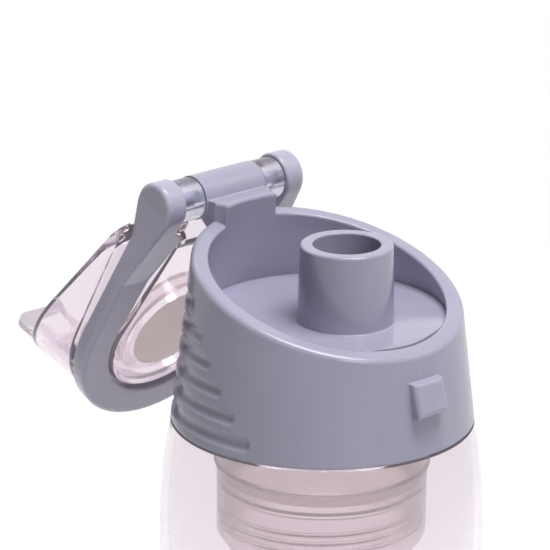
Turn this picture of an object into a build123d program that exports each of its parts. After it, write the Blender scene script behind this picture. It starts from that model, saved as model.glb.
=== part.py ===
"""Fruit infuser water bottle: a clear bottle, a screw cap with a drinking spout, a clear flip
lid, a carry loop and an infuser basket, in millimetres.

The origin is the centre of the foot, +Z up, -Y to the front, where the lid's catch is. Heights
in the cap are counted from the lower edge of its collar. The lid and the loop are drawn closed,
in a frame at the hinge: u runs from the hinge's axis to the front along the loop, and w is the
height over the loop's middle. They are then swung open about the hinge.
"""

import os
from math import acos, asin, atan2, cos, degrees, hypot, radians, sin, sqrt, tan

from build123d import *

os.makedirs("parts", exist_ok=True)

# Bottle
bottle_radius = 37.5
bottle_wall = 2.0
bottle_floor = 3.0
collar_edge = 200.0
shoulder_height = 24.0
foot_round = 6.0
neck_bore = 25.3
neck_wall = 2.2
neck_height = 18.0
shoulder_tuck = 1.6
tuck_gap = 0.15

# Screw threads: each ridge is a share of its pitch wide at its root and at its crest
cap_pitch = 5.0
cap_turns = 1.25
cap_ridge = 1.2
cap_thread_start = 5.4
basket_pitch = 2.1
basket_turns = 3.0
basket_ridge = 0.8
basket_thread_start = -26.6
ridge_root_share = 0.36
ridge_crest_share = 0.18
ridge_sink = 0.3

# Clearances
edge_gap = 0.4
thread_gap = 0.4
fit_gap = 0.05
pin_gap = 0.07
knuckle_gap = 0.3
nest_gap = 0.4
overrun = 2.0

# Cap collar
collar_radius = 34.94
collar_draft = 0.12
collar_skin = 2.2
collar_lip = 1.1
collar_lip_height = 2.0
rim_wall = 4.0
rim_height = 33.4
rim_tilt = 17.2
rim_round = 1.4
rim_inner_round = 0.6
edge_round = 0.5

# Finger grooves round the back of the collar
groove_count = 6
groove_first = 4.0
groove_pitch = 5.2
groove_bit = 2.3
groove_depth = 0.9
groove_reach = 106.0
groove_step = 7.5

# Catch on the front of the collar
catch_height = 13.8
catch_tall = 7.8
catch_wide = 9.2
catch_lip = 1.5
catch_foot = 3.0
catch_round = 1.1

# Deck and spout
deck_height = 25.1
deck_plate = 2.5
hub_wall = 1.8
hub_low = 12.0
seat_plate = 2.4
spout_back = 7.2
spout_height = 43.2
spout_radius = 10.56
spout_foot_radius = 11.1
spout_bore = 7.7
spout_lip = 0.6

# Hinge
hinge_back = 35.0
hinge_height = 45.9
knuckle_radius = 5.2
knuckle_half = 9.2
tab_height = 46.3
tab_half = 8.7
tab_round = 0.8
bracket_low = 38.0
bracket_angle = 60.0
lid_knuckle_radius = 5.0
lid_knuckle_width = 5.8
loop_end_radius = 5.7
loop_end_width = 5.5
pin_radius = 1.5
pin_cover = 1.6

# Carry loop
loop_tilt = 3.0
loop_out = 41.5
loop_radius = 27.0
loop_width = 7.7
loop_top = 1.6
loop_thick = 3.8
loop_flare_share = 0.837
loop_flare_at = 8.0
loop_fair = 22.0
loop_heel = 9.5
loop_deepen = 1.4
opening_half = 12.0
opening_back = 8.8
opening_notch = 5.6
loop_round = 1.1
loop_inner_round = 0.5

# Flip lid
open_angle = 247.5
lid_lead = 2.5
rim_gap = 0.3
lid_wall = 1.8
lid_step = 1.0
lid_back = 6.5
lid_rim_front = 32.1
lid_rim_half = 29.3
lid_rim_wide_at = 2.0
lid_corner_half = 26.2
lid_corner_round = 5.0
lid_top_half = 25.0
lid_top_round = 4.0
lid_tab_gap = 0.4
lid_lug_top = 2.0
plateau_top = 3.4
plateau_gap = 0.4
plateau_round = 1.5
holder_outer = 14.4
holder_depth = 4.2
tongue_half = 7.4
tongue_thick = 3.2
tongue_low = 3.4
tongue_gap = 0.6
tongue_flare = 2.3
tongue_flare_at = 15.0
tongue_root = 6.0
tongue_round = 4.0
tongue_tip_share = 0.5
window_margin = 0.7

# Spout seal
seal_radius = 11.2
seal_fit = 0.1
seal_gap = 0.3
plug_radius = 6.2
plug_depth = 3.0
plug_round = 0.8

# Gaskets
gasket_thick = 2.0
rim_gasket_thick = 1.4
basket_gasket_thick = 1.5
basket_gasket_width = 1.7

# Infuser
infuser_radius = 24.2
infuser_wall = 1.4
infuser_drop = 28.0
infuser_bead_at = 10.0
infuser_bead = 0.6
infuser_chamfer = 1.3
infuser_ledge = 3.2
infuser_ledge_thick = 1.4
basket_radius = 21.4
basket_wall = 1.4
basket_top = 17.0
basket_foot = 60.0
basket_round = 4.0
basket_slot_top = 34.0
slot_width = 3.0
slot_length = 22.0
slot_columns = 12
slot_rows = 4
slot_gap = 5.0
drain_radius = 1.6
drain_circle_share = 0.55
drain_count = 6

# Values worked out from the sizes above
half_turn = 180.0
rim_slope = tan(radians(rim_tilt))
spout_out = hinge_back + spout_back
loop_front = loop_out + loop_radius
loop_flare = loop_radius * loop_flare_share
loop_bottom = loop_top - loop_thick
opening_radius = loop_radius - loop_width
lid_knuckle_in = knuckle_half + knuckle_gap
lid_knuckle_out = lid_knuckle_in + lid_knuckle_width
loop_end_in = lid_knuckle_out + knuckle_gap
loop_end_out = loop_end_in + loop_end_width
shoulder_top = loop_bottom - nest_gap
plateau_ceiling = plateau_top - lid_wall
spout_along = (spout_out * cos(radians(loop_tilt))
               + (hinge_height - spout_height) * sin(radians(loop_tilt)))
tab_along = hinge_back - sqrt((collar_radius - collar_draft * tab_height - rim_wall) ** 2
                              - tab_half ** 2)
chamber_ceiling = neck_height + gasket_thick
gasket_seat = -basket_top
seat_height = chamber_ceiling + seat_plate
deck_seat = deck_height - deck_plate
neck_outer = neck_bore + neck_wall
sleeve_inner = infuser_radius - infuser_wall

hinge_axis = Axis((0, hinge_back, collar_edge + hinge_height), (1, 0, 0))
rim_plane = Plane(
    origin=(0, 0, collar_edge + rim_height),
    x_dir=(1, 0, 0),
    z_dir=(0, -sin(radians(rim_tilt)), cos(radians(rim_tilt))),
)
loop_plane = Plane(
    origin=(0, hinge_back, collar_edge + hinge_height),
    x_dir=(1, 0, 0),
    z_dir=(0, -sin(radians(loop_tilt)), cos(radians(loop_tilt))),
)
side_plane = Plane(
    origin=(0, hinge_back, collar_edge + hinge_height),
    x_dir=(0, -cos(radians(loop_tilt)), -sin(radians(loop_tilt))),
    z_dir=(-1, 0, 0),
)


def collar_radius_at(height):
    """Outer radius of the collar at a height over its lower edge."""
    return collar_radius - collar_draft * height


def collar_plane(height):
    """Level plane at a height over the collar's lower edge."""
    return Plane.XY.offset(collar_edge + height)


def tangent_angle(radius, across, along):
    """Angle on a circle at the origin where a line from the point (across, along) touches it."""
    return atan2(along, across) + acos(radius / hypot(across, along))


def helical_ridge(radius, rise, pitch, turns, start):
    """A screw ridge that rises from a wall of this radius; a negative rise goes inwards."""
    sink = -ridge_sink if rise > 0 else ridge_sink
    root = pitch * ridge_root_share / 2
    crest = pitch * ridge_crest_share / 2
    with BuildPart() as ridge:
        with BuildLine(collar_plane(start)) as path:
            Helix(pitch, pitch * turns, radius)
        with BuildSketch(Plane(path.line @ 0, x_dir=(1, 0, 0), z_dir=path.line % 0)):
            Polygon((sink, -root), (rise, -crest), (rise, crest), (sink, root), align=None)
        sweep(path=path.line, is_frenet=True)
    return ridge.part


with BuildPart() as bottle_body:
    shoulder_at = collar_edge - shoulder_height
    shoulder_end = collar_edge - edge_gap
    neck_root = collar_edge + shoulder_tuck
    tuck_radius = collar_radius - collar_lip - tuck_gap
    shoulder_inner = tuck_radius - bottle_wall / 2
    with BuildSketch(Plane.XZ):
        with BuildLine():
            foot = Line((0, 0), (bottle_radius - foot_round, 0))
            heel = TangentArc(foot @ 1, (bottle_radius, foot_round), tangent=(1, 0))
            wall = Line(heel @ 1, (bottle_radius, shoulder_at))
            shoulder = TangentArc(wall @ 1, (collar_radius, shoulder_end), tangent=(0, 1))
            Polyline(
                shoulder @ 1,
                (tuck_radius, shoulder_end),
                (tuck_radius, neck_root),
                (neck_outer, neck_root),
                (neck_outer, collar_edge + neck_height),
                (0, collar_edge + neck_height),
                (0, 0),
            )
        make_face()
    revolve(axis=Axis.Z)
    with BuildSketch(Plane.XZ):
        with BuildLine():
            inner = bottle_radius - bottle_wall
            base = Line((0, bottle_floor), (inner - foot_round, bottle_floor))
            bend = TangentArc(base @ 1, (inner, bottle_floor + foot_round), tangent=(1, 0))
            side = Line(bend @ 1, (inner, shoulder_at))
            top = TangentArc(side @ 1, (shoulder_inner, neck_root - bottle_wall), tangent=(0, 1))
            Polyline(
                top @ 1,
                (neck_bore, neck_root - bottle_wall),
                (neck_bore, collar_edge + neck_height + overrun),
                (0, collar_edge + neck_height + overrun),
                (0, bottle_floor),
            )
        make_face()
    revolve(axis=Axis.Z, mode=Mode.SUBTRACT)
    add(helical_ridge(neck_outer, cap_ridge, cap_pitch, cap_turns, cap_thread_start))
bottle_body.part.label = "bottle_body"
export_step(bottle_body.part, "parts/bottle_body.step")


with BuildPart() as cap_collar:
    wall_top = rim_height + rim_slope * collar_radius + overrun
    with BuildSketch(Plane.XZ):
        with Locations((0, collar_edge)):
            Polygon(
                (collar_radius_at(0) - collar_lip, 0),
                (collar_radius_at(0), 0),
                (collar_radius_at(wall_top), wall_top),
                (collar_radius_at(wall_top) - rim_wall, wall_top),
                (collar_radius_at(seat_height) - rim_wall, seat_height),
                (collar_radius_at(seat_height) - collar_skin, seat_height),
                (collar_radius_at(collar_lip_height) - collar_skin, collar_lip_height),
                (collar_radius_at(0) - collar_lip, collar_lip_height),
                align=None,
            )
    revolve(axis=Axis.Z)
    split(bisect_by=rim_plane, keep=Keep.BOTTOM)
    fillet(cap_collar.faces().filter_by(rim_plane).edges().sort_by(SortBy.LENGTH)[-1], rim_round)
    fillet(cap_collar.faces().filter_by(rim_plane).edges().sort_by(SortBy.LENGTH)[0],
           rim_inner_round)
    fillet(cap_collar.edges().group_by(Axis.Z)[0].sort_by(SortBy.LENGTH)[-1], edge_round)
    # Raised tab of the wall that carries the hinge
    tab_reach = degrees(asin(tab_half / collar_radius_at(tab_height)))
    tab_low = rim_height
    with BuildSketch(Plane.XZ.rotated((0, 0, 90 - tab_reach))):
        with Locations((0, collar_edge)):
            Polygon(
                (collar_radius_at(tab_low) - rim_wall, tab_low),
                (collar_radius_at(tab_low) - edge_round, tab_low),
                (collar_radius_at(tab_height) - edge_round, tab_height),
                (collar_radius_at(tab_height) - rim_wall, tab_height),
                align=None,
            )
    revolve(axis=Axis.Z, revolution_arc=2 * tab_reach)
    tab_top = cap_collar.faces().filter_by(Axis.Z).sort_by(Axis.Z)[-1]
    fillet(tab_top.edges().sort_by(Axis.Y)[:-1], tab_round)
    # Bracket and centre knuckle
    with BuildSketch(Plane.YZ):
        with Locations((0, collar_edge)):
            Polygon(
                (collar_radius_at(tab_height) - rim_wall / 2, tab_height),
                (hinge_back - knuckle_radius / 2, tab_height),
                (hinge_back - knuckle_radius * cos(radians(bracket_angle)),
                 hinge_height - knuckle_radius * sin(radians(bracket_angle))),
                (collar_radius_at(bracket_low) - collar_skin, bracket_low),
                align=None,
            )
    extrude(amount=tab_half, both=True)
    with BuildSketch(side_plane):
        Circle(knuckle_radius)
    extrude(amount=knuckle_half, both=True)
    with BuildSketch(side_plane):
        Circle(pin_radius)
    extrude(amount=loop_end_out, both=True, mode=Mode.SUBTRACT)
    # Finger grooves, each a ring segment with ball ends
    for level in range(groove_count):
        height = groove_first + level * groove_pitch
        reach = groove_reach - level * groove_step
        centre = collar_radius_at(height) + groove_bit - groove_depth
        with BuildSketch(Plane.XZ.rotated((0, 0, 90 - reach))):
            with Locations((centre, collar_edge + height)):
                Circle(groove_bit)
        revolve(axis=Axis.Z, revolution_arc=2 * reach, mode=Mode.SUBTRACT)
        with Locations(Plane.XY.offset(collar_edge + height)):
            with PolarLocations(centre, 2, start_angle=90 - reach, angular_range=2 * reach,
                                endpoint=True):
                Sphere(groove_bit, mode=Mode.SUBTRACT)
    # Catch for the lid's tongue, proud at its foot and thin at its top
    catch_top = catch_height + catch_tall / 2
    catch_bottom = catch_height - catch_tall / 2
    with BuildSketch(Plane.YZ):
        with Locations((0, collar_edge)):
            Polygon(
                (-collar_radius_at(catch_top) + collar_skin / 2, catch_top),
                (-collar_radius_at(catch_top) - catch_lip, catch_top),
                (-collar_radius_at(catch_bottom) - catch_foot, catch_bottom),
                (-collar_radius_at(catch_bottom) + collar_skin / 2, catch_bottom),
                align=None,
            )
    extrude(amount=catch_wide / 2, both=True)
    fillet(cap_collar.faces().sort_by(Axis.Y)[0].edges(), catch_round)
cap_collar.part.label = "cap_collar"
export_step(cap_collar.part, "parts/cap_collar.step")


with BuildPart() as cap_core:
    core_low = collar_skin
    deck_radius = collar_radius_at(deck_height) - rim_wall - fit_gap
    thread_bore = neck_outer + cap_ridge + thread_gap
    hub_inner = sleeve_inner - hub_wall - fit_gap
    with BuildSketch(Plane.XZ):
        with Locations((0, collar_edge)):
            Polygon(
                (0, deck_seat),
                (hub_inner, deck_seat),
                (hub_inner, hub_low),
                (sleeve_inner - fit_gap, hub_low),
                (sleeve_inner - fit_gap, chamber_ceiling),
                (thread_bore, chamber_ceiling),
                (thread_bore, core_low),
                (collar_radius_at(core_low) - collar_skin - fit_gap, core_low),
                (collar_radius_at(seat_height) - collar_skin - fit_gap, seat_height),
                (deck_radius, seat_height),
                (deck_radius, deck_height),
                (0, deck_height),
                align=None,
            )
    revolve(axis=Axis.Z)
    split(bisect_by=rim_plane, keep=Keep.BOTTOM)
    with BuildSketch(Plane.XZ.offset(spout_back)):
        with Locations((0, collar_edge)):
            Polygon(
                (0, deck_seat),
                (spout_foot_radius, deck_seat),
                (spout_foot_radius, deck_height),
                (spout_radius, spout_height),
                (0, spout_height),
                align=None,
            )
    revolve(axis=Axis((0, -spout_back, 0), (0, 0, 1)))
    fillet(cap_core.edges().filter_by(GeomType.CIRCLE).group_by(Axis.Z)[-1], spout_lip)
    with Locations((0, -spout_back, collar_edge + spout_height)):
        Hole(spout_bore, spout_height - deck_seat + overrun)
    fillet(cap_core.edges().filter_by(GeomType.CIRCLE).group_by(Axis.Z)[-1], spout_lip / 2)
    add(helical_ridge(thread_bore, -cap_ridge, cap_pitch, cap_turns,
                      cap_thread_start - cap_pitch / 2))
cap_core.part.label = "cap_core"
export_step(cap_core.part, "parts/cap_core.step")


with BuildPart() as neck_gasket:
    with BuildSketch(collar_plane(neck_height)):
        Circle(neck_outer)
        Circle(neck_bore, mode=Mode.SUBTRACT)
    extrude(amount=gasket_thick)
neck_gasket.part.label = "neck_gasket"
export_step(neck_gasket.part, "parts/neck_gasket.step")


def ring_outline(radius, half, back):
    """Round end of this radius that narrows to a straight edge near the hinge."""
    touch = tangent_angle(radius, -half, loop_out - back)
    across = -radius * cos(touch)
    along = radius * sin(touch) - loop_out
    with BuildSketch() as outline:
        with BuildLine():
            ThreePointArc((-across, along), (0, -loop_out - radius), (across, along))
            Polyline((across, along), (half, -back), (-half, -back), (-across, along))
        make_face()
    return outline.sketch


def loop_profile(grow):
    """Side view of the loop: a round hinge end that runs into the flat ring."""
    radius = loop_end_radius + grow
    top = loop_top + grow
    bottom = loop_bottom - grow
    upper = tangent_angle(radius, loop_fair, top)
    lower = tangent_angle(radius, loop_heel, -bottom)
    with BuildSketch() as profile:
        with BuildLine():
            ThreePointArc((radius * cos(lower), -radius * sin(lower)), (-radius, 0),
                          (radius * cos(upper), radius * sin(upper)))
            Polyline((radius * cos(upper), radius * sin(upper)), (loop_fair, top),
                     (loop_front, top), (loop_front, bottom - loop_deepen),
                     (loop_heel, bottom), (radius * cos(lower), -radius * sin(lower)))
        make_face()
    return profile.sketch


def lid_outline(plane, front, half, wide_at, corner_half, back, corner):
    """Outline of the lid on a plane, with a round front and two rounded back corners."""
    with BuildSketch(plane) as outline:
        with BuildLine():
            ThreePointArc((-half, wide_at), (0, front), (half, wide_at))
            Polyline((half, wide_at), (corner_half, back), (-corner_half, back),
                     (-half, wide_at))
        make_face()
        fillet(outline.vertices().group_by(Axis.Y)[-1], corner)
    return outline.sketch


def lid_lug():
    """Knuckle of the lid on one side, with the lug that joins it to the window's corner."""
    lug_end = tab_along + lid_tab_gap + lid_wall
    lug_out = opening_half - plateau_gap
    with BuildPart() as lug:
        with BuildSketch(loop_plane.offset(-lid_knuckle_radius)):
            Polygon(
                (lid_knuckle_in, 0),
                (lid_knuckle_in, -lug_end),
                (lug_out, -lug_end),
                (lug_out, -opening_back),
                (lid_knuckle_out, -opening_notch + knuckle_gap),
                (lid_knuckle_out, 0),
                align=None,
            )
        extrude(amount=lid_knuckle_radius + lid_lug_top)
        split(bisect_by=rim_plane.offset(rim_gap), keep=Keep.TOP)
        with BuildSketch(side_plane.offset(-lid_knuckle_in)):
            Circle(lid_knuckle_radius)
        extrude(amount=-lid_knuckle_width)
    return lug.part


def lid_tongue():
    """Tongue that hangs from the lid's front, with a window for the catch and a flared tip."""
    skirt_low = rim_height - rim_slope * lid_rim_front + rim_gap / cos(radians(rim_tilt))
    window_low = catch_height - catch_tall / 2 - window_margin
    window_high = catch_height + catch_tall / 2 + window_margin
    outer = tongue_gap + tongue_thick
    tip = tongue_flare + tongue_thick * tongue_tip_share
    with BuildPart() as tongue:
        with BuildSketch(Plane.YZ):
            with Locations((0, collar_edge)):
                Polygon(
                    (-collar_radius_at(tongue_low) - tongue_flare, tongue_low),
                    (-collar_radius_at(window_low) - tongue_flare, window_low),
                    (-collar_radius_at(tongue_flare_at) - tongue_gap, tongue_flare_at),
                    (-collar_radius_at(skirt_low) - tongue_gap, skirt_low),
                    (-lid_rim_front + lid_wall / 2, skirt_low),
                    (-lid_rim_front + lid_wall / 2, skirt_low + tongue_root),
                    (-collar_radius_at(skirt_low) - tongue_gap, skirt_low + tongue_root),
                    (-collar_radius_at(skirt_low) - outer, skirt_low + tongue_root / 2),
                    (-collar_radius_at(tongue_flare_at) - outer, tongue_flare_at),
                    (-collar_radius_at(tongue_low) - tip, tongue_low),
                    align=None,
                )
        extrude(amount=tongue_half, both=True)
        fillet(tongue.edges().filter_by(Axis.Y).group_by(Axis.Z)[0], tongue_round)
        with BuildSketch(Plane.XZ.offset(collar_radius / 2)):
            with Locations((0, collar_edge + catch_height)):
                Rectangle(catch_wide + 2 * window_margin, window_high - window_low)
        extrude(amount=collar_radius, mode=Mode.SUBTRACT)
    return tongue.part


with BuildPart() as carry_loop:
    with BuildSketch(side_plane):
        add(loop_profile(0))
    extrude(amount=loop_radius + overrun, both=True)
    with BuildSketch(loop_plane):
        add(ring_outline(loop_radius, loop_flare, loop_flare_at))
        Polygon(
            (-loop_flare, -loop_flare_at),
            (loop_flare, -loop_flare_at),
            (loop_end_out, 0),
            (loop_end_out, loop_end_radius + overrun),
            (-loop_end_out, loop_end_radius + overrun),
            (-loop_end_out, 0),
            align=None,
        )
    extrude(amount=loop_end_radius + overrun, both=True, mode=Mode.INTERSECT)
    across = carry_loop.edges().filter_by(Axis.X)
    upright = carry_loop.edges().filter_by(Axis(loop_plane.origin, loop_plane.z_dir))
    fillet(carry_loop.edges() - across - upright, loop_round)
    with BuildSketch(loop_plane):
        add(ring_outline(loop_radius - loop_width, opening_half, opening_back))
        Polygon(
            (-loop_end_in, loop_end_radius + overrun),
            (-loop_end_in, -opening_notch),
            (-opening_half, -opening_back),
            (opening_half, -opening_back),
            (loop_end_in, -opening_notch),
            (loop_end_in, loop_end_radius + overrun),
            align=None,
        )
    extrude(amount=loop_end_radius + overrun, both=True, mode=Mode.SUBTRACT)
    inner = carry_loop.edges(Select.LAST)
    upright = inner.filter_by(Axis(loop_plane.origin, loop_plane.z_dir))
    fillet(inner - upright - inner.filter_by(Axis.X), loop_inner_round)
    for side in (-1, 1):
        with BuildSketch(side_plane.offset(side * loop_end_in)):
            Circle(pin_radius + pin_gap)
        extrude(amount=side * (loop_end_width - pin_cover), mode=Mode.SUBTRACT)
carry_loop.part = carry_loop.part.rotate(hinge_axis, -open_angle)
carry_loop.part.label = "carry_loop"
export_step(carry_loop.part, "parts/carry_loop.step")


with BuildPart() as flip_lid:
    lid_low = rim_plane.offset(rim_gap)
    low_scale = cos(radians(rim_tilt))
    shoulder = loop_plane.offset(shoulder_top)
    cavity_back = tab_along + lid_tab_gap + lid_wall
    # Outer wedge, wide at the rim and a little narrower at the shoulder
    low = lid_outline(lid_low, -lid_rim_front / low_scale, lid_rim_half,
                      lid_rim_wide_at / low_scale, lid_corner_half,
                      (hinge_back - lid_back) / low_scale, lid_corner_round)
    high = lid_outline(shoulder, -loop_front + lid_step, loop_radius - lid_step, -loop_out,
                       lid_top_half, -lid_back, lid_top_round)
    loft(sections=[low, high], ruled=True)
    # Raised window that stands in the loop's opening
    plateau_radius = loop_radius - loop_width - plateau_gap
    with BuildSketch(shoulder.offset(-lid_wall / 2)):
        add(ring_outline(plateau_radius, opening_half - plateau_gap, opening_back))
    extrude(amount=plateau_top - shoulder_top + lid_wall / 2)
    fillet(flip_lid.faces().sort_by(Axis.Z)[-1].outer_wire().edges(), plateau_round)
    # Cavity under the wedge and under the window
    low_cut = lid_outline(lid_low, -(lid_rim_front - lid_wall) / low_scale,
                          lid_rim_half - lid_wall, lid_rim_wide_at / low_scale,
                          lid_corner_half - lid_wall, (hinge_back - cavity_back) / low_scale,
                          lid_corner_round)
    high_cut = lid_outline(shoulder.offset(-lid_wall), -loop_front + lid_step + lid_wall,
                           loop_radius - lid_step - lid_wall, -loop_out,
                           lid_top_half - lid_wall, -cavity_back, lid_top_round)
    loft(sections=[low_cut, high_cut], ruled=True, mode=Mode.SUBTRACT)
    with BuildSketch(shoulder.offset(-lid_wall - nest_gap / 2)):
        add(ring_outline(plateau_radius - lid_wall, opening_half - lid_wall, cavity_back))
    extrude(amount=plateau_ceiling - shoulder_top + lid_wall + nest_gap / 2, mode=Mode.SUBTRACT)
    # Room for the loop's hinge ends and for the collar's tab
    for side in (-1, 1):
        with BuildSketch(side_plane.offset(side * (opening_half - plateau_gap))):
            add(loop_profile(nest_gap))
            Rectangle(2 * loop_heel, 2 * loop_heel, mode=Mode.INTERSECT)
        extrude(amount=side * (loop_flare - opening_half + 2 * plateau_gap), mode=Mode.SUBTRACT)
    with BuildSketch(loop_plane):
        Rectangle(2 * lid_knuckle_in, 2 * (tab_along + lid_tab_gap))
    extrude(amount=loop_front, both=True, mode=Mode.SUBTRACT)
    # Knuckles, their pin hole, the ring that holds the seal, and the tongue
    lug = lid_lug()
    add(lug)
    mirror(objects=lug, about=Plane.YZ)
    with BuildSketch(side_plane):
        Circle(pin_radius + pin_gap)
    extrude(amount=lid_knuckle_out + overrun, both=True, mode=Mode.SUBTRACT)
    with BuildSketch(loop_plane.offset(plateau_ceiling - holder_depth)):
        with Locations((0, -spout_along)):
            Circle(holder_outer)
            Circle(seal_radius + seal_fit, mode=Mode.SUBTRACT)
    extrude(amount=holder_depth + lid_wall / 2)
    add(lid_tongue())
flip_lid.part = flip_lid.part.rotate(hinge_axis, lid_lead - open_angle)
flip_lid.part.label = "flip_lid"
export_step(flip_lid.part, "parts/flip_lid.step")


with BuildPart() as spout_seal:
    seal_face = spout_height + seal_gap
    with BuildSketch(loop_plane.offset(plateau_ceiling - seal_fit)):
        with Locations((0, -spout_along)):
            Circle(seal_radius)
    extrude(amount=-holder_depth)
    split(bisect_by=collar_plane(seal_face), keep=Keep.TOP)
    with BuildSketch(collar_plane(seal_face)):
        with Locations((0, -spout_back)):
            Circle(plug_radius)
    extrude(amount=-plug_depth)
    fillet(spout_seal.edges().group_by(Axis.Z)[0], plug_round)
spout_seal.part = spout_seal.part.rotate(hinge_axis, lid_lead - open_angle)
spout_seal.part.label = "spout_seal"
export_step(spout_seal.part, "parts/spout_seal.step")


with BuildPart() as hinge_pin:
    with BuildSketch(side_plane):
        Circle(pin_radius)
    extrude(amount=loop_end_out - pin_cover - knuckle_gap, both=True)
hinge_pin.part.label = "hinge_pin"
export_step(hinge_pin.part, "parts/hinge_pin.step")


with BuildPart() as infuser_collar:
    tube_top = chamber_ceiling - rim_gasket_thick
    ledge_top = gasket_seat + basket_gasket_thick + infuser_ledge_thick
    with BuildSketch(Plane.XZ):
        with Locations((0, collar_edge)):
            Polygon(
                (sleeve_inner, tube_top),
                (infuser_radius, tube_top),
                (infuser_radius, infuser_bead - infuser_bead_at),
                (infuser_radius + infuser_bead, -infuser_bead_at),
                (infuser_radius, -infuser_bead_at - infuser_bead),
                (infuser_radius, -infuser_drop + infuser_chamfer),
                (infuser_radius - infuser_chamfer / 2, -infuser_drop),
                (sleeve_inner, -infuser_drop),
                (sleeve_inner, ledge_top - infuser_ledge_thick),
                (sleeve_inner - infuser_ledge, ledge_top - infuser_ledge_thick),
                (sleeve_inner - infuser_ledge, ledge_top),
                (sleeve_inner, ledge_top + infuser_ledge),
                align=None,
            )
    revolve(axis=Axis.Z)
    add(helical_ridge(sleeve_inner, -basket_ridge, basket_pitch, basket_turns,
                      basket_thread_start + basket_pitch / 2))
infuser_collar.part.label = "infuser_collar"
export_step(infuser_collar.part, "parts/infuser_collar.step")


with BuildPart() as infuser_rim_gasket:
    with BuildSketch(collar_plane(tube_top)):
        Circle(infuser_radius)
        Circle(sleeve_inner, mode=Mode.SUBTRACT)
    extrude(amount=rim_gasket_thick)
infuser_rim_gasket.part.label = "infuser_rim_gasket"
export_step(infuser_rim_gasket.part, "parts/infuser_rim_gasket.step")


with BuildPart() as infuser_gasket:
    with BuildSketch(collar_plane(gasket_seat)):
        Circle(basket_radius)
        Circle(basket_radius - basket_gasket_width, mode=Mode.SUBTRACT)
    extrude(amount=basket_gasket_thick)
infuser_gasket.part.label = "infuser_gasket"
export_step(infuser_gasket.part, "parts/infuser_gasket.step")


with BuildPart() as infuser_basket:
    basket_tall = collar_edge - basket_top - basket_foot
    with BuildSketch(Plane.XY.offset(basket_foot)):
        Circle(basket_radius)
    extrude(amount=basket_tall)
    fillet(infuser_basket.edges().group_by(Axis.Z)[0], basket_round)
    offset(amount=-basket_wall, openings=infuser_basket.faces().sort_by(Axis.Z)[-1])
    for row in range(slot_rows):
        middle = collar_edge - basket_slot_top - slot_length / 2 - row * (slot_length + slot_gap)
        with Locations(Plane.XY.offset(middle)):
            with PolarLocations(0, slot_columns // 2, angular_range=half_turn):
                Box(2 * basket_radius + overrun, slot_width, slot_length, mode=Mode.SUBTRACT)
    with Locations(Plane.XY.offset(basket_foot + basket_wall)):
        with PolarLocations(basket_radius * drain_circle_share, drain_count):
            Hole(drain_radius, basket_wall + overrun)
    add(helical_ridge(basket_radius, basket_ridge, basket_pitch, basket_turns,
                      basket_thread_start))
infuser_basket.part.label = "infuser_basket"
export_step(infuser_basket.part, "parts/infuser_basket.step")
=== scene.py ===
"""Dresses the fruit infuser bottle: the finish of every moulded piece, the small marks of the
mould that the solids leave out, the studio and the camera.

Lengths are metres and angles are degrees. The bottle stands on the origin with +Z up and its
drinking side towards -Y.
"""

from __future__ import annotations

import logging
import math
from dataclasses import dataclass, field
from enum import Enum
from typing import Any, Mapping

import bmesh
import bpy
from mathutils import Matrix, Vector
from mathutils.bvhtree import BVHTree


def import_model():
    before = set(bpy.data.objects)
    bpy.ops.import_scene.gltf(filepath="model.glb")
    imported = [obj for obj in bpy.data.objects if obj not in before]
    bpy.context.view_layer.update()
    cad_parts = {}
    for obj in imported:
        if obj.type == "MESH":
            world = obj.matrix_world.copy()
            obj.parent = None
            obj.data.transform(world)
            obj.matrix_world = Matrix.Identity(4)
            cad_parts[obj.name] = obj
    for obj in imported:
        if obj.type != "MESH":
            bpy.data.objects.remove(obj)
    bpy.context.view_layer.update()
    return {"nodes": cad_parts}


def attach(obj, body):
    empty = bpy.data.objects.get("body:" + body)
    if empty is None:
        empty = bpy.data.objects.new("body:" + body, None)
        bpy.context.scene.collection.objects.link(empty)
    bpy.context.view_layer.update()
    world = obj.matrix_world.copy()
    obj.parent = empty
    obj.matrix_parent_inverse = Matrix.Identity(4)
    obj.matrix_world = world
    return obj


log = logging.getLogger("infuser_bottle")

Colour = tuple[float, float, float, float]
Band = tuple[float, float]

MILLIMETRE = 0.001
PICTURE_SIDE = 550
WHITE: Colour = (1, 1, 1, 1)
PLASTIC_IOR = 1.5
SILICONE_IOR = 1.41

# The curve between a screen's values and linear ones.
SCREEN_FULL = 255
SCREEN_KNEE = 0.04045
SCREEN_SLOPE = 12.92
SCREEN_OFFSET = 0.055
SCREEN_POWER = 2.4

# The Mix node's numbers for its factor, its two colours and the colour that it gives.
MIX_FACTOR, MIX_FIRST, MIX_SECOND, MIX_RESULT = 0, 6, 7, 2


class Sum(Enum):
    """The sums that the finishes are worked out with, by the Math node's names."""

    PLUS = "ADD"
    MINUS = "SUBTRACT"
    TIMES = "MULTIPLY"
    POWER = "POWER"
    SIZE = "ABSOLUTE"


@dataclass(frozen=True)
class Shade:
    """A colour as it is read off a screen, each channel from 0 to 255."""

    red: float
    green: float
    blue: float

    def linear(self, gain: float = 1.0) -> Colour:
        """The colour in Blender's linear values.

        Args:
            gain: Factor on every channel.

        Returns:
            Red, green, blue and an alpha of 1.
        """
        channels = []
        for value in (self.red, self.green, self.blue):
            part = value / SCREEN_FULL
            if part <= SCREEN_KNEE:
                flat = part / SCREEN_SLOPE
            else:
                flat = ((part + SCREEN_OFFSET) / (1 + SCREEN_OFFSET)) ** SCREEN_POWER
            channels.append(min(1.0, flat * gain))
        return (channels[0], channels[1], channels[2], 1.0)


@dataclass(frozen=True)
class Unevenness:
    """One kind of noise in a finish.

    The scale is in waves to the metre, the detail is octaves of finer noise, and the stretch is a
    factor on the scale along each axis.
    """

    scale: float
    detail: float = 2.0
    stretch: tuple[float, float, float] | None = None


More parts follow.
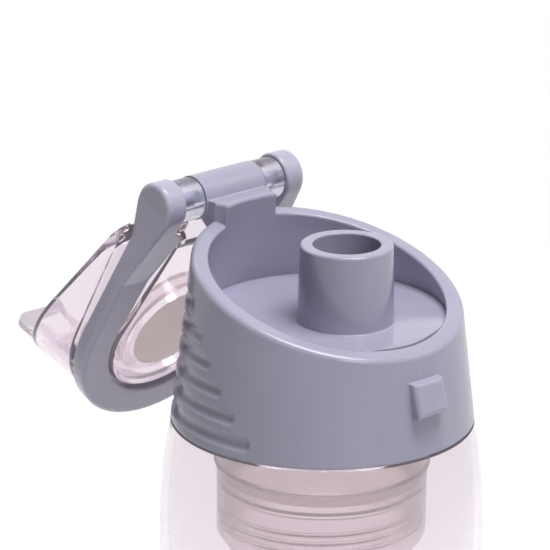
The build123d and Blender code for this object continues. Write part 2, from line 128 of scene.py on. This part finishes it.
class Signal:
    """An output socket that takes part in sums. Each operator adds the Math node it needs."""

    def __init__(self, bench: FinishBench, socket: bpy.types.NodeSocket) -> None:
        """Keeps the socket and the bench whose tree it belongs to."""
        self.bench = bench
        self.socket = socket

    def _sum(self, operation: Sum, *operands: Operand) -> Signal:
        """One Math node on these operands."""
        settings = {"operation": operation.value}
        return self.bench.add("ShaderNodeMath", settings, dict(enumerate(operands)))

    def __add__(self, other: Operand) -> Signal:
        """self + other."""
        return self._sum(Sum.PLUS, self, other)

    def __radd__(self, other: Operand) -> Signal:
        """other + self."""
        return self._sum(Sum.PLUS, other, self)

    def __sub__(self, other: Operand) -> Signal:
        """self - other."""
        return self._sum(Sum.MINUS, self, other)

    def __rsub__(self, other: Operand) -> Signal:
        """other - self."""
        return self._sum(Sum.MINUS, other, self)

    def __mul__(self, other: Operand) -> Signal:
        """self * other."""
        return self._sum(Sum.TIMES, self, other)

    def __rmul__(self, other: Operand) -> Signal:
        """other * self."""
        return self._sum(Sum.TIMES, other, self)

    def __pow__(self, other: Operand) -> Signal:
        """self to the power of other."""
        return self._sum(Sum.POWER, self, other)

    def __rpow__(self, other: Operand) -> Signal:
        """other to the power of self."""
        return self._sum(Sum.POWER, other, self)

    def __abs__(self) -> Signal:
        """The signal without its sign."""
        return self._sum(Sum.SIZE, self)

    def rising(self, low: float, high: float) -> Signal:
        """A smooth step.

        Args:
            low: Value at which the result is 0.
            high: Value at which the result is 1. It may be the lower one, for a falling step.

        Returns:
            0 to 1.
        """
        settings = {"interpolation_type": "SMOOTHSTEP", "clamp": True}
        sockets = {"Value": self, "From Min": low, "From Max": high}
        return self.bench.add("ShaderNodeMapRange", settings, sockets)


Operand = Signal | float


class FinishBench:
    """A material's node tree, and the one way in which nodes are added to it."""

    SPECK_CORE: float = 0.5
    SPECK_LOT: Band = (0.985, 0.99)
    EDGE_SAMPLES: int = 6
    EDGE_ALIKE: Band = (0.995, 0.90)

    def __init__(self, name: str) -> None:
        """Starts an empty material.

        Args:
            name: The material's name.
        """
        self.material = bpy.data.materials.new(name)
        self.material.use_nodes = True
        self.tree = self.material.node_tree
        self.tree.nodes.clear()
        self.place = self.add("ShaderNodeTexCoord", output="Object")

    def add(
        self,
        kind: str,
        settings: Mapping[str, Any] | None = None,
        sockets: Mapping[Any, Any] | None = None,
        output: Any = 0,
    ) -> Signal:
        """Adds one node.

        Args:
            kind: The node's type.
            settings: Its own settings, set first.
            sockets: A value or a signal for each input, by name or by number.
            output: Name or number of the output to return.

        Returns:
            The output as a signal.
        """
        node = self.tree.nodes.new(kind)
        for name, value in (settings or {}).items():
            setattr(node, name, value)
        for key, value in (sockets or {}).items():
            if isinstance(value, Signal):
                self.tree.links.new(value.socket, node.inputs[key])
            else:
                node.inputs[key].default_value = value
        return Signal(self, node.outputs[output])

    def noise(self, kind: Unevenness) -> Signal:
        """Noise in the piece's own space.

        Args:
            kind: How fine it is and how it is stretched.

        Returns:
            The noise, 0 to 1.
        """
        where = self.place
        if kind.stretch is not None:
            where = self.add("ShaderNodeMapping", {}, {"Vector": where, "Scale": kind.stretch})
        sockets = {"Vector": where, "Scale": kind.scale, "Detail": kind.detail}
        return self.add("ShaderNodeTexNoise", {}, sockets, "Fac")

    def axes(self) -> tuple[Signal, Signal, Signal]:
        """Splits the place on the surface.

        Returns:
            X, Y and Z of the point.
        """
        split = self.add("ShaderNodeSeparateXYZ", {}, {"Vector": self.place})
        outputs = split.socket.node.outputs
        return Signal(self, outputs["X"]), Signal(self, outputs["Y"]), Signal(self, outputs["Z"])

    def specks(self, scale: float, size: float) -> Signal:
        """Sparse round specks.

        Args:
            scale: Cells to the metre, each with one speck at most.
            size: A speck's radius as a share of its cell.

        Returns:
            1 in a speck and 0 outside.
        """
        sockets = {"Vector": self.place, "Scale": scale}
        near = self.add("ShaderNodeTexVoronoi", {}, sockets, "Distance")
        lot = self.add("ShaderNodeTexVoronoi", {}, sockets, "Color")
        pick = self.add("ShaderNodeSeparateColor", {}, {"Color": lot}, "Red")
        return near.rising(size, size * self.SPECK_CORE) * pick.rising(*self.SPECK_LOT)

    def edges(self, radius: float) -> tuple[Signal, Signal]:
        """Softened edges.

        Args:
            radius: Radius that the edges seem to have.

        Returns:
            The softened normal, and a mask that is 1 at an edge.
        """
        soft = self.add("ShaderNodeBevel", {"samples": self.EDGE_SAMPLES}, {"Radius": radius})
        plain = self.add("ShaderNodeNewGeometry", output="Normal")
        settings = {"operation": "DOT_PRODUCT"}
        alike = self.add("ShaderNodeVectorMath", settings, {0: soft, 1: plain}, "Value")
        return soft, alike.rising(*self.EDGE_ALIKE)

    def blend(self, factor: Operand, first: Any, second: Any) -> Signal:
        """A colour between two colours."""
        sockets = {MIX_FACTOR: factor, MIX_FIRST: first, MIX_SECOND: second}
        return self.add("ShaderNodeMix", {"data_type": "RGBA"}, sockets, MIX_RESULT)

    def bump(self, height: Signal, depth: float, normal: Signal | None = None) -> Signal:
        """Bends the normal as a relief would.

        Args:
            height: The relief, from 0 to 1 where it is plain noise.
            depth: Distance between a height of 0 and one of 1.
            normal: The normal to start from, or None for the surface's own.

        Returns:
            The bent normal.
        """
        sockets: dict[str, Any] = {"Height": height, "Distance": depth, "Strength": 1.0}
        if normal is not None:
            sockets["Normal"] = normal
        return self.add("ShaderNodeBump", {}, sockets)

    def finish(self, surface: Signal, volume: Signal | None = None) -> bpy.types.Material:
        """Connects the material's output.

        Args:
            surface: The surface shader.
            volume: The volume shader, or None.

        Returns:
            The finished material.
        """
        node = self.tree.nodes.new("ShaderNodeOutputMaterial")
        self.tree.links.new(surface.socket, node.inputs["Surface"])
        if volume is not None:
            self.tree.links.new(volume.socket, node.inputs["Volume"])
        return self.material


@dataclass(frozen=True)
class GreyMoulding:
    """Satin grey plastic, dyed through, with the mould's fine grain; its edges are painted
    lighter, partly as rubbing and partly as a painted highlight.
    """

    name: str
    shade: Shade
    deep_shade: Shade
    # The lighter edge colour: partly wear, partly a painted highlight on rounded edges.
    edge_wear_and_highlight_shade: Shade
    roughness: float
    edge_radius: float = 0.5 * MILLIMETRE
    clouds: Unevenness = Unevenness(26, 3)
    streaks: Unevenness = Unevenness(55, 2, (1, 1, 0.18))
    cloud_share: float = 0.6
    streak_share: float = 0.4
    uneven_band: Band = (0.3, 0.7)
    grain: Unevenness = Unevenness(3400)
    grain_depth: float = 0.012 * MILLIMETRE
    wear: Unevenness = Unevenness(420, 3)
    wear_band: Band = (0.35, 0.75)
    wear_share: float = 0.35
    edge_rub_and_highlight_share: float = 0.5
    speck_scale: float = 260
    speck_size: float = 0.045
    speck_shade: Shade = Shade(225, 222, 230)
    streak_dulling: float = 0.05
    wear_dulling: float = 0.06
    rub_dulling: float = 0.08
    usual_dulling: float = 0.055
    witness_at: float | None = None
    witness_line: Band = (0.22 * MILLIMETRE, 0.08 * MILLIMETRE)
    witness_front: Band = (-0.030, -0.031)
    witness_start: float = 1 * MILLIMETRE
    witness_height: float = 4

    def make(self) -> bpy.types.Material:
        """Builds the material.

        Returns:
            The material.
        """
        bench = FinishBench(self.name)
        clouds = bench.noise(self.clouds)
        streaks = bench.noise(self.streaks)
        grain = bench.noise(self.grain)
        wear = bench.noise(self.wear)
        soft, edge = bench.edges(self.edge_radius)
        mixed = clouds * self.cloud_share + streaks * self.streak_share
        uneven = mixed.rising(*self.uneven_band)
        colour = bench.blend(uneven, self.deep_shade.linear(), self.shade.linear())
        # Edges are painted lighter: partly rubbed plastic, partly a painted highlight on the
        # rounded edges.
        rubbed_and_lightened = edge * (wear.rising(*self.wear_band) * self.wear_share + self.edge_rub_and_highlight_share)
        colour = bench.blend(rubbed_and_lightened, colour, self.edge_wear_and_highlight_shade.linear())
        specks = bench.specks(self.speck_scale, self.speck_size)
        colour = bench.blend(specks, colour, self.speck_shade.linear())
        dulling = (
            streaks * self.streak_dulling + wear * self.wear_dulling + rubbed_and_lightened * self.rub_dulling
        )
        height = grain
        roughness = dulling + (self.roughness - self.usual_dulling)
        if self.witness_at is not None:
            height = height + self._witness(bench, self.witness_at) * self.witness_height
        sockets = {
            "Base Color": colour,
            "Roughness": roughness,
            "Normal": bench.bump(height, self.grain_depth, soft),
            "IOR": PLASTIC_IOR,
        }
        return bench.finish(bench.add("ShaderNodeBsdfPrincipled", {}, sockets))

    def _witness(self, bench: FinishBench, lowest: float) -> Signal:
        """The fine raised line that the mould's halves leave on the front.

        Args:
            bench: The material's bench.
            lowest: Height at which the line begins.

        Returns:
            1 on the line and 0 beside it.
        """
        across, along, height = bench.axes()
        line = abs(across).rising(*self.witness_line)
        above = height.rising(lowest, lowest + self.witness_start)
        return line * along.rising(*self.witness_front) * above


@dataclass(frozen=True)
class HingeWear:
    """The lid's rubbed knuckles and frosted tongue, told apart by the distance from the hinge."""

    hinge_along: float
    hinge_height: float
    tip: float
    rubbed_shade: Shade = Shade(222, 221, 234)
    rubbed_band: Band = (6.4 * MILLIMETRE, 5.2 * MILLIMETRE)
    rubbed_haze: float = 0.06
    rubbed_scuffs: float = 0.15
    frosted_shade: Shade = Shade(212, 203, 212)
    frosted_from_tip: Band = (5.5 * MILLIMETRE, 4 * MILLIMETRE)
    frosted_haze: float = 0.3
    frosted_scuffs: float = 0.2

    def spread(self, bench: FinishBench) -> tuple[Signal, Signal]:
        """Where the lid is rubbed and where it is frosted.

        Args:
            bench: The material's bench.

        Returns:
            A mask of the knuckles and a mask of the tongue.
        """
        _, along, height = bench.axes()
        aside, above = along - self.hinge_along, height - self.hinge_height
        away = (aside * aside + above * above) ** 0.5
        start, full = self.frosted_from_tip
        return away.rising(*self.rubbed_band), away.rising(self.tip - start, self.tip - full)


@dataclass(frozen=True)
class ClearMoulding:
    """Clear plastic with a faint tint in its depth and slight waves from the mould.

    Its faint glow stands in for the light that scatters in it, and lightens its darkest edges.
    """

    name: str
    tint: Shade
    depth_colour: Colour
    density: float
    roughness: float = 0.02
    clearness: float = 1.0
    glow: float = 0.024
    wear: HingeWear | None = None
    waves: Unevenness = Unevenness(48, 2, (1, 1, 0.4))
    wave_depth: float = 0.01 * MILLIMETRE
    scuffs: Unevenness = Unevenness(310, 4)
    scuff_band: Band = (0.5, 0.8)
    handling: Unevenness = Unevenness(22)
    handling_band: Band = (0.35, 0.7)
    handling_gain: float = 0.985
    haze: float = 0.03

    def make(self) -> bpy.types.Material:
        """Builds the material.

        Returns:
            The material.
        """
        bench = FinishBench(self.name)
        waves = bench.noise(self.waves)
        scuffs = bench.noise(self.scuffs)
        handling = bench.noise(self.handling)
        scuffed = scuffs.rising(*self.scuff_band) * handling.rising(*self.handling_band)
        haze = scuffed * self.haze
        handled = self.tint.linear(self.handling_gain)
        colour = bench.blend(handling, self.tint.linear(), handled)
        if self.wear is not None:
            rubbed_and_lightened, frosted = self.wear.spread(bench)
            colour = bench.blend(rubbed_and_lightened, colour, self.wear.rubbed_shade.linear())
            colour = bench.blend(frosted, colour, self.wear.frosted_shade.linear())
            rubbed_haze = scuffs * self.wear.rubbed_scuffs + self.wear.rubbed_haze
            frosted_haze = scuffs * self.wear.frosted_scuffs + self.wear.frosted_haze
            haze = haze + rubbed_and_lightened * rubbed_haze + frosted * frosted_haze
        sockets = {
            "Base Color": colour,
            "Roughness": haze + self.roughness,
            "Normal": bench.bump(waves, self.wave_depth),
            "IOR": PLASTIC_IOR,
            "Transmission Weight": self.clearness,
            # Painted glow: emission that lightens the darkest edges in place of light scattered
            # in the plastic.
            "Emission Color": colour,
            "Emission Strength": self.glow,
        }
        surface = bench.add("ShaderNodeBsdfPrincipled", {}, sockets)
        inside = {"Color": self.depth_colour, "Density": self.density}
        return bench.finish(surface, bench.add("ShaderNodeVolumeAbsorption", {}, inside))


@dataclass(frozen=True)
class Silicone:
    """Matt silicone rubber. Its faint glow stands in for the light that scatters in it."""

    name: str
    shade: Shade
    deep_shade: Shade
    roughness: float = 0.46
    glow: float = 0.12
    bloom: Unevenness = Unevenness(90, 4)
    bloom_dulling: float = 0.12
    grain: Unevenness = Unevenness(2400)
    grain_depth: float = 0.015 * MILLIMETRE
    edge_radius: float = 0.25 * MILLIMETRE
    edge_polish: float = 0.08

    def make(self) -> bpy.types.Material:
        """Builds the material.

        Returns:
            The material.
        """
        bench = FinishBench(self.name)
        bloom = bench.noise(self.bloom)
        grain = bench.noise(self.grain)
        soft, edge = bench.edges(self.edge_radius)
        colour = bench.blend(bloom, self.deep_shade.linear(), self.shade.linear())
        sockets = {
            "Base Color": colour,
            "Roughness": bloom * self.bloom_dulling + self.roughness - edge * self.edge_polish,
            "Normal": bench.bump(grain, self.grain_depth, soft),
            "IOR": SILICONE_IOR,
            # Painted glow: emission in place of light scattered in the rubber.
            "Emission Color": colour,
            "Emission Strength": self.glow,
        }
        return bench.finish(bench.add("ShaderNodeBsdfPrincipled", {}, sockets))


@dataclass(frozen=True)
class BrushedSteel:
    """Stainless rod, drawn along its length."""

    name: str
    shade: Shade
    roughness: float = 0.3
    lines: Unevenness = Unevenness(5200, 2, (0.03, 1, 1))
    line_dulling: float = 0.16
    line_depth: float = 0.004 * MILLIMETRE
    smear: Unevenness = Unevenness(160, 3)
    smear_gain: float = 0.82

    def make(self) -> bpy.types.Material:
        """Builds the material.

        Returns:
            The material.
        """
        bench = FinishBench(self.name)
        lines = bench.noise(self.lines)
        smear = bench.noise(self.smear)
        colour = bench.blend(smear, self.shade.linear(), self.shade.linear(self.smear_gain))
        sockets = {
            "Base Color": colour,
            "Metallic": 1.0,
            "Roughness": lines * self.line_dulling + self.roughness,
            "Normal": bench.bump(lines, self.line_depth),
        }
        return bench.finish(bench.add("ShaderNodeBsdfPrincipled", {}, sockets))


def dress(node: bpy.types.Object, material: bpy.types.Material) -> None:
    """Gives a solid its finish in every slot.

    Args:
        node: The solid.
        material: Its finish.
    """
    for place in node.material_slots:
        place.material = material
    log.info("%s has the finish %s", node.name, material.name)


def middle(node: bpy.types.Object) -> Vector:
    """The middle of a solid's box."""
    corners = [Vector(corner) for corner in node.bound_box]
    return sum(corners, Vector()) / len(corners)


def direction(azimuth: float, elevation: float) -> Vector:
    """The direction in which something stands, seen from the bottle.

    Args:
        azimuth: Degrees round from the drinking side, towards +X.
        elevation: Degrees up from the floor.

    Returns:
        A direction of length 1.
    """
    side, rise = math.radians(azimuth), math.radians(elevation)
    return Vector(
        (math.sin(side) * math.cos(rise), -math.cos(side) * math.cos(rise), math.sin(rise))
    )


def stand(name: str, data: bpy.types.ID) -> bpy.types.Object:
    """Puts a mesh, a lamp or a camera into the scene.

    Args:
        name: The new object's name.
        data: What it shows.

    Returns:
        The new object.
    """
    made = bpy.data.objects.new(name, data)
    bpy.context.scene.collection.objects.link(made)
    return made


def piece(
    shape: bmesh.types.BMesh, name: str, material: bpy.types.Material, body: str
) -> None:
    """Turns a finished shape into a piece that rides on a body.

    Args:
        shape: The mesh, in place. It is freed.
        name: The piece's name.
        material: Its finish.
        body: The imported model's name for what it moves with.
    """
    mesh = bpy.data.meshes.new(name)
    bmesh.ops.recalc_face_normals(shape, faces=shape.faces)
    shape.to_mesh(mesh)
    shape.free()
    mesh.shade_smooth()
    mesh.materials.append(material)
    made = stand(name, mesh)
    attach(made, body)
    log.info("%s has %d faces and rides on %s", name, len(mesh.polygons), body)


@dataclass(frozen=True)
class Viewpoint:
    """The camera of the photograph. Its focal length is in pixels of the picture."""

    azimuth: float = -42.72
    elevation: float = 18.53
    roll: float = 0.51
    focal: float = 3726.5
    distance: float = 0.8457
    target: Vector = field(default_factory=lambda: Vector((-0.00821, 0.00759, 0.23381)))
    sensor: float = 36.0
    nearest: float = 0.05
    furthest: float = 20.0

    def turn(self) -> Matrix:
        """Works out how the camera is turned.

        Returns:
            A matrix whose columns are the camera's right, up and back.
        """
        side, lean = math.radians(self.azimuth), math.radians(self.roll)
        back = direction(self.azimuth, self.elevation)
        right = Vector((math.cos(side), math.sin(side), 0))
        up = back.cross(right)
        leaned = math.cos(lean) * right + math.sin(lean) * up
        return Matrix((leaned, math.cos(lean) * up - math.sin(lean) * right, back)).transposed()

    def ray(self, across: float, down: float) -> tuple[Vector, Vector]:
        """The line of sight through a point of the picture.

        Args:
            across: Pixels from the picture's left edge.
            down: Pixels from its top edge.

        Returns:
            The camera's place and the direction.
        """
        turn = self.turn()
        start = self.target + turn @ Vector((0, 0, self.distance))
        half = PICTURE_SIDE / 2
        aim = Vector(((across - half) / self.focal, (half - down) / self.focal, -1.0))
        return start, (turn @ aim).normalized()

    def make(self) -> None:
        """Makes the camera and gives it to the scene."""
        data = bpy.data.cameras.new("photo_camera")
        data.sensor_width = self.sensor
        data.lens = self.focal / PICTURE_SIDE * self.sensor
        data.clip_start = self.nearest
        data.clip_end = self.furthest
        camera = stand("photo_camera", data)
        start, _ = self.ray(PICTURE_SIDE / 2, PICTURE_SIDE / 2)
        camera.matrix_world = Matrix.Translation(start) @ self.turn().to_4x4()
        bpy.context.scene.camera = camera


@dataclass(frozen=True)
class Softbox:
    """One large soft lamp, aimed at the cap."""

    name: str
    azimuth: float
    elevation: float
    distance: float
    size: float
    power: float

    def make(self, aim: Vector) -> None:
        """Hangs the lamp.

        Args:
            aim: The point that it faces.
        """
        back = direction(self.azimuth, self.elevation)
        data = bpy.data.lights.new(self.name, "AREA")
        data.shape = "DISK"
        data.size = self.size
        data.energy = self.power
        lamp = stand(self.name, data)
        lamp.location = aim + back * self.distance
        lamp.rotation_mode = "QUATERNION"
        lamp.rotation_quaternion = (-back).to_track_quat("-Z", "Y")


@dataclass(frozen=True)
class Studio:
    """A white room with a pale floor, soft lamps and the photograph's camera."""

    aim: Vector = field(default_factory=lambda: Vector((0, 0, 0.22)))
    ambient: float = 0.06
    bounces: int = 28
    floor_radius: float = 3.0
    floor_sides: int = 96
    floor_height: float = -0.2 * MILLIMETRE
    floor_roughness: float = 0.85
    floor_shades: tuple[Colour, Colour] = ((0.86, 0.86, 0.86, 1), (0.89, 0.89, 0.89, 1))
    floor_clouds: Unevenness = Unevenness(3, 3)
    floor_glow: float = 0.35
    floor_fades: Band = (0.3, 0.9)
    lamps: tuple[Softbox, ...] = (
        Softbox("lamp_top", azimuth=10, elevation=76, distance=1.3, size=0.85, power=20.0),
        Softbox("lamp_key", azimuth=60, elevation=40, distance=1.4, size=0.6, power=1.0),
        Softbox("lamp_front", azimuth=-10, elevation=30, distance=1.6, size=0.5, power=4.7),
        Softbox("lamp_back", azimuth=165, elevation=42, distance=1.4, size=0.7, power=2.0),
    )

    def make(self, viewpoint: Viewpoint) -> None:
        """Builds the whole studio round the bottle.

        Args:
            viewpoint: The photograph's camera.
        """
        scene = bpy.context.scene
        scene.view_settings.view_transform = "Standard"
        scene.cycles.max_bounces = self.bounces
        scene.cycles.transmission_bounces = self.bounces
        viewpoint.make()
        for lamp in self.lamps:
            lamp.make(self.aim)
        self._light_world()
        self._lay_floor()

    @staticmethod
    def _seen_straight(tree: bpy.types.NodeTree) -> bpy.types.NodeSocket:
        """Tells what is seen from what is only lit by.

        Args:
            tree: The tree that gets the nodes.

        Returns:
            1 for what the camera, a reflection or clear plastic sees, and 0 for light.
        """
        path = tree.nodes.new("ShaderNodeLightPath")
        total = path.outputs["Is Camera Ray"]
        for name in ("Is Glossy Ray", "Is Transmission Ray"):
            most = tree.nodes.new("ShaderNodeMath")
            most.operation = "MAXIMUM"
            tree.links.new(total, most.inputs[0])
            tree.links.new(path.outputs[name], most.inputs[1])
            total = most.outputs[0]
        return total

    def _light_world(self) -> None:
        """White where it is seen, and a plain low light on everything else."""
        world = bpy.data.worlds.new("white_room")
        bpy.context.scene.world = world
        world.use_nodes = True
        tree = world.node_tree
        tree.nodes.clear()
        shades = []
        for strength in (self.ambient, 1.0):
            shade = tree.nodes.new("ShaderNodeBackground")
            shade.inputs["Color"].default_value = WHITE
            shade.inputs["Strength"].default_value = strength
            shades.append(shade)
        either = tree.nodes.new("ShaderNodeMixShader")
        tree.links.new(self._seen_straight(tree), either.inputs["Fac"])
        for number, shade in enumerate(shades, start=1):
            tree.links.new(shade.outputs[0], either.inputs[number])
        output = tree.nodes.new("ShaderNodeOutputWorld")
        tree.links.new(either.outputs[0], output.inputs["Surface"])

    def _lay_floor(self) -> None:
        """A round pale floor that keeps the bottle's shadow."""
        shape = bmesh.new()
        bmesh.ops.create_circle(
            shape, cap_ends=True, segments=self.floor_sides, radius=self.floor_radius,
            matrix=Matrix.Translation((0, 0, self.floor_height)),
        )
        mesh = bpy.data.meshes.new("studio_floor")
        shape.to_mesh(mesh)
        shape.free()
        floor = stand("studio_floor", mesh)
        mesh.materials.append(self._floor_paint())

    def _floor_paint(self) -> bpy.types.Material:
        """Pale paint near the bottle, which fades to plain white further out.

        Returns:
            The floor's material.
        """
        bench = FinishBench("floor_paint")
        cloud = bench.noise(self.floor_clouds)
        colour = bench.blend(cloud, *self.floor_shades)
        sockets = {"Base Color": colour, "Roughness": self.floor_roughness}
        paint = bench.add("ShaderNodeBsdfPrincipled", {}, sockets)
        sockets = {"Color": WHITE, "Strength": self.floor_glow}
        glow = bench.add("ShaderNodeEmission", {}, sockets)
        white = bench.add("ShaderNodeEmission", {}, {"Color": WHITE, "Strength": 1.0})
        across, along, _ = bench.axes()
        far = ((across * across + along * along) ** 0.5).rising(*self.floor_fades)
        near = bench.add("ShaderNodeAddShader", {}, {0: paint, 1: glow})
        lit = bench.add("ShaderNodeMixShader", {}, {0: far, 1: near, 2: white})
        seen = Signal(bench, self._seen_straight(bench.tree))
        return bench.finish(bench.add("ShaderNodeMixShader", {}, {0: seen, 1: paint, 2: lit}))


@dataclass(frozen=True)
class ClearBottle:
    """The clear bottle."""

    finish: ClearMoulding

    def make(self, nodes: Mapping[str, bpy.types.Object]) -> None:
        """Dresses the bottle."""
        dress(nodes["bottle_body"], self.finish.make())


@dataclass(frozen=True)
class GreyCap:
    """The cap's two mouldings, the hinge pin and the three gaskets under the cap."""

    outer: GreyMoulding
    inner: GreyMoulding
    pin: BrushedSteel
    ring: ClearMoulding

    def make(self, nodes: Mapping[str, bpy.types.Object]) -> None:
        """Dresses the cap.

        Args:
            nodes: The solids by name.
        """
        dress(nodes["cap_collar"], self.outer.make())
        dress(nodes["cap_core"], self.inner.make())
        dress(nodes["hinge_pin"], self.pin.make())
        ring = self.ring.make()
        for name in ("neck_gasket", "infuser_rim_gasket", "infuser_gasket"):
            dress(nodes[name], ring)


@dataclass(frozen=True)
class CarryLoop:
    """The grey loop on its two arms."""

    finish: GreyMoulding

    def make(self, nodes: Mapping[str, bpy.types.Object]) -> None:
        """Dresses the loop."""
        dress(nodes["carry_loop"], self.finish.make())


@dataclass(frozen=True)
class FlipLid:
    """The clear lid, its seal and the round ejector marks near its hinge.

    The spots are pixels across and down in the picture, where the marks of one side show.
    """

    finish: ClearMoulding
    seal: Silicone
    mark_radius: float = 1.15 * MILLIMETRE
    mark_wire: float = 0.28 * MILLIMETRE
    mark_sides: int = 12
    mark_steps: int = 32
    mark_merge: float = 0.001 * MILLIMETRE
    mark_spots: tuple[tuple[float, float], ...] = ((120.6, 237.5), (183.5, 226.5))
    mark_slot: str = "clear_lid"
    mark_body: str = "lid"

    def make(self, nodes: Mapping[str, bpy.types.Object], viewpoint: Viewpoint) -> None:
        """Dresses the lid and adds its marks.

        Args:
            nodes: The solids by name.
            viewpoint: The photograph's camera.
        """
        clear = self.finish.make()
        dress(nodes["flip_lid"], clear)
        dress(nodes["spout_seal"], self.seal.make())
        for number, spot in enumerate(self.mark_spots):
            found = self._on_surface(nodes["flip_lid"], viewpoint, spot)
            if found is None:
                log.warning("no lid surface at the mark %s", spot)
                continue
            centre, normal = found
            for side, hand in ((1, "left"), (-1, "right")):
                flip = Vector((side, 1, 1))
                mark = self._mark(centre * flip, normal * flip)
                name = f"lid_mark_{number}_{hand}"
                piece(mark, name, clear, self.mark_body)

    @staticmethod
    def _on_surface(
        node: bpy.types.Object, viewpoint: Viewpoint, spot: tuple[float, float]
    ) -> tuple[Vector, Vector] | None:
        """The nearest point of a solid behind a point of the picture.

        Args:
            node: The solid.
            viewpoint: The photograph's camera.
            spot: Pixels across and down.

        Returns:
            The point and the surface's normal there, or None.
        """
        tree = BVHTree.FromObject(node, bpy.context.evaluated_depsgraph_get())
        start, aim = viewpoint.ray(*spot)
        point, normal, _, _ = tree.ray_cast(start, aim)
        return None if point is None else (point, normal)

    def _mark(self, centre: Vector, normal: Vector) -> bmesh.types.BMesh:
        """A low round ring, half sunk in the surface that carries it.

        Args:
            centre: The ring's centre, on the surface.
            normal: The surface's normal there.

        Returns:
            The ring's mesh, in place.
        """
        shape = bmesh.new()
        ring = bmesh.ops.create_circle(shape, segments=self.mark_sides, radius=self.mark_wire)
        turn = Matrix.Rotation(math.radians(90), 4, "X")
        move = Matrix.Translation((self.mark_radius, 0, 0))
        bmesh.ops.transform(shape, matrix=move @ turn, verts=ring["verts"])
        whole = shape.verts[:] + shape.edges[:]
        bmesh.ops.spin(
            shape, geom=whole, cent=(0, 0, 0), axis=(0, 0, 1), dvec=(0, 0, 0), angle=math.tau,
            steps=self.mark_steps, use_merge=True, use_duplicate=False,
        )
        bmesh.ops.remove_doubles(shape, verts=shape.verts, dist=self.mark_merge)
        place = Matrix.Translation(centre) @ normal.to_track_quat("Z", "Y").to_matrix().to_4x4()
        bmesh.ops.transform(shape, matrix=place, verts=shape.verts)
        return shape


@dataclass(frozen=True)
class Infuser:
    """The clear tube under the cap and the slotted basket."""

    tube: ClearMoulding
    basket: ClearMoulding

    def make(self, nodes: Mapping[str, bpy.types.Object]) -> None:
        """Dresses the infuser."""
        dress(nodes["infuser_collar"], self.tube.make())
        dress(nodes["infuser_basket"], self.basket.make())


def hinge_wear(nodes: Mapping[str, bpy.types.Object]) -> HingeWear:
    """Finds where the lid's hinge is and how far its tongue reaches.

    Args:
        nodes: The solids by name.

    Returns:
        The wear of the lid.
    """
    pin = middle(nodes["hinge_pin"])
    reach = max((vertex.co.yz - pin.yz).length for vertex in nodes["flip_lid"].data.vertices)
    return HingeWear(hinge_along=pin.y, hinge_height=pin.z, tip=reach)


def main() -> None:
    """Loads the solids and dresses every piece."""
    logging.basicConfig(level=logging.INFO, format="%(name)s: %(message)s")
    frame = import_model()
    nodes = frame["nodes"]
    viewpoint = Viewpoint()
    Studio().make(viewpoint)
    grey = Shade(163, 161, 182)
    deep = Shade(157, 155, 175)
    # Lighter edge colour: partly rubbed plastic, partly a painted highlight.
    wear_and_highlight = Shade(200, 198, 214)
    ClearBottle(
        ClearMoulding(
            "clear_bottle", tint=Shade(236, 230, 235), depth_colour=(0.45, 0.28, 0.40, 1),
            density=11,
        )
    ).make(nodes)
    GreyCap(
        outer=GreyMoulding("grey_collar", grey, deep, wear_and_highlight, roughness=0.2, witness_at=0.205),
        inner=GreyMoulding("grey_deck", grey, deep, wear_and_highlight, roughness=0.06),
        pin=BrushedSteel("drawn_steel", Shade(196, 199, 212)),
        ring=ClearMoulding(
            "clear_silicone", tint=Shade(254, 250, 250), depth_colour=(0.6, 0.5, 0.5, 1),
            density=8, roughness=0.12, glow=0.05,
        ),
    ).make(nodes)
    CarryLoop(
        GreyMoulding(
            "grey_loop", Shade(178, 173, 194), Shade(171, 166, 187), wear_and_highlight, roughness=0.17,
            edge_radius=1.4 * MILLIMETRE,
        )
    ).make(nodes)
    FlipLid(
        finish=ClearMoulding(
            "clear_lid", tint=Shade(232, 222, 230), depth_colour=(0.45, 0.33, 0.42, 1),
            density=24, roughness=0.06, wear=hinge_wear(nodes),
        ),
        seal=Silicone("beige_silicone", Shade(250, 233, 218), Shade(240, 220, 204)),
    ).make(nodes, viewpoint)
    Infuser(
        tube=ClearMoulding(
            "frosted_tube", tint=Shade(253, 246, 245), depth_colour=(0.40, 0.24, 0.30, 1),
            density=6, roughness=0.2, clearness=0.9,
        ),
        basket=ClearMoulding(
            "clear_basket", tint=Shade(252, 247, 250), depth_colour=(0.40, 0.20, 0.32, 1),
            density=12, roughness=0.04, clearness=0.94,
        ),
    ).make(nodes)


if __name__ == "__main__":
    main()
